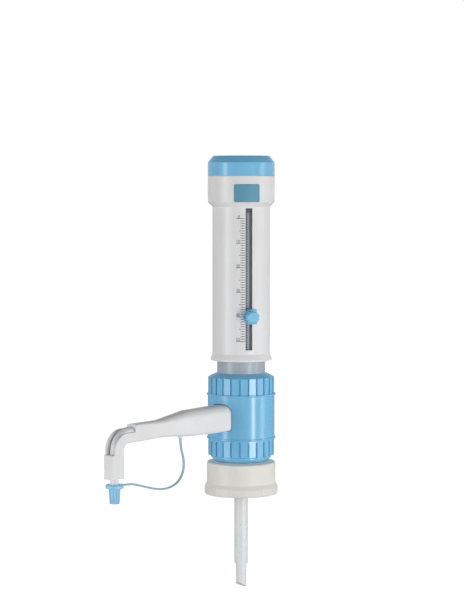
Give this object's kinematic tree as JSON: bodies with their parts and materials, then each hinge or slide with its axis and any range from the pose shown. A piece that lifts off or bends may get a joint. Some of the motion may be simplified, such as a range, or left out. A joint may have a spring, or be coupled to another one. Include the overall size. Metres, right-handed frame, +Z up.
{
  "type": "bottle-top dispenser",
  "caption": "Piston dispenser that screws on a lab bottle, with a swivelling spout block, lift sleeve with scale and stop pointer, capped nozzle and telescoping suction tube.",
  "frame": {"origin": "centre of the adapter's face that seals on the bottle's mouth, on the cylinder's axis", "axes": "+Z up the cylinder's axis, away from the bottle; the spout points along -X"},
  "size_m": [0.168, 0.0545, 0.3173],
  "materials": {
    "white_plastic": "satin moulded white plastic",
    "adapter_plastic": "matt moulded warm white plastic",
    "blue_plastic": "satin moulded light blue plastic",
    "plate_plastic": "satin blue plate, bare",
    "guard_plastic": "translucent grey plastic",
    "cylinder_glass": "ground clear glass",
    "piston_plastic": "white fluoropolymer",
    "tube_plastic": "translucent fluoropolymer tube",
    "dark_plastic": "dark grey moulded plastic",
    "strap_plastic": "soft grey-blue plastic cord",
    "seal_rubber": "black elastomer",
    "ball_glass": "polished glass ball",
    "stainless_steel": "turned stainless steel"
  },
  "bodies": {
    "bottle_mount": {"bottle_adapter": "adapter_plastic", "adapter_seal": "seal_rubber", "lower_collar": "blue_plastic"},
    "valve_unit": {"valve_block": "blue_plastic", "upper_collar": "blue_plastic", "cylinder_gasket": "seal_rubber", "glass_cylinder": "cylinder_glass", "cylinder_guard": "guard_plastic", "stroke_stop_ring": "dark_plastic", "spout_housing": "white_plastic", "spout_tube": "tube_plastic", "cap_strap": "strap_plastic", "filling_valve_body": "piston_plastic", "filling_valve_gasket": "seal_rubber", "filling_valve_seat": "piston_plastic", "ball_retainer": "piston_plastic", "discharge_valve_body": "piston_plastic", "discharge_valve_gasket": "seal_rubber", "discharge_valve_seat": "piston_plastic", "discharge_valve_spring": "stainless_steel", "suction_tube_upper": "tube_plastic"},
    "lift_sleeve": {"outer_sleeve": "white_plastic", "range_plate": "plate_plastic", "top_cap": "blue_plastic", "toothed_rack": "dark_plastic", "piston": "piston_plastic", "piston_seal": "piston_plastic", "piston_rod": "stainless_steel", "rod_washer": "stainless_steel", "rod_nut": "stainless_steel"},
    "stop_pointer": {"pointer": "blue_plastic", "pointer_shoe": "dark_plastic"},
    "pointer_screw": {"pointer_knob": "blue_plastic"},
    "spout_cap": {"nozzle_cap": "blue_plastic"},
    "inner_tube": {"suction_tube_lower": "tube_plastic"},
    "filling_ball": {"filling_valve_ball": "ball_glass"},
    "discharge_ball": {"discharge_valve_ball": "ball_glass"}
  },
  "joints": [
    {"name": "block_swivel", "type": "hinge", "parent": "bottle_mount", "child": "valve_unit", "pos_m": [0, 0, 0.0173], "axis": [0, 0, 1], "continuous": true},
    {"name": "piston_lift", "type": "slide", "parent": "valve_unit", "child": "lift_sleeve", "axis": [0, 0, 1], "range_m": [0, 0.0709]},
    {"name": "pointer_slide", "type": "slide", "parent": "lift_sleeve", "child": "stop_pointer", "axis": [0, 0, -1], "range_m": [-0.06204, 0.01772]},
    {"name": "screw_turn", "type": "hinge", "parent": "stop_pointer", "child": "pointer_screw", "pos_m": [-0.01152, -0.01817, 0.11109], "axis": [-0.5606, -0.8281, 0], "range_deg": [0, 360]},
    {"name": "cap_pull", "type": "slide", "parent": "valve_unit", "child": "spout_cap", "axis": [0, 0, -1], "range_m": [0, 0.014]},
    {"name": "tube_telescope", "type": "slide", "parent": "valve_unit", "child": "inner_tube", "axis": [0, 0, -1], "range_m": [0, 0.054]},
    {"name": "filling_ball_lift", "type": "slide", "parent": "valve_unit", "child": "filling_ball", "axis": [0, 0, 1], "range_m": [0, 0.0025]},
    {"name": "discharge_ball_lift", "type": "slide", "parent": "valve_unit", "child": "discharge_ball", "axis": [-1, 0, 0], "range_m": [0, 0.0018], "stiffness_N_per_m": 40, "deforming": ["discharge_valve_spring"]}
  ]
}
